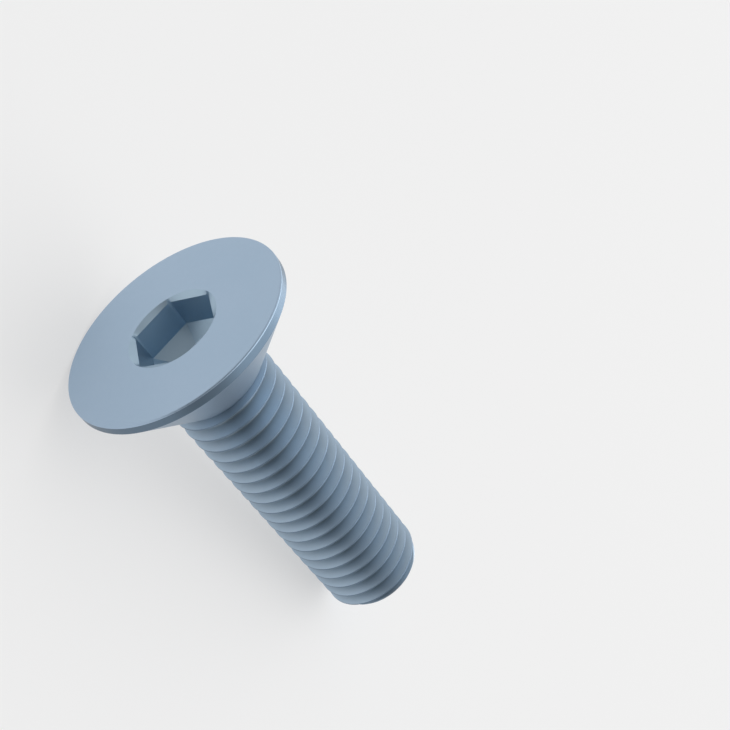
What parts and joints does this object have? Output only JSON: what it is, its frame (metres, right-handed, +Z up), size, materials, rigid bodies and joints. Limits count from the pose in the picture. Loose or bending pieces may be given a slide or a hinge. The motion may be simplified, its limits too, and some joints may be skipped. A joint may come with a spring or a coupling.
{
  "type": "countersunk socket screw",
  "caption": "Countersunk screw with a flat head, a conical seat, a hexagon socket and a coarse right-hand thread running from the cone to a chamfered tip.",
  "frame": {"origin": "on the floor, under the middle of the resting screw's bounding box", "axes": "+X along the screw from head to tip (the axis itself slopes 9.1 degrees down to the tip), +Y to the side, +Z up"},
  "size_m": [0.0312, 0.0172, 0.017],
  "materials": {
    "steel": "satin blue-grey plated steel"
  },
  "bodies": {
    "root": {"screw": "steel"}
  },
  "joints": []
}
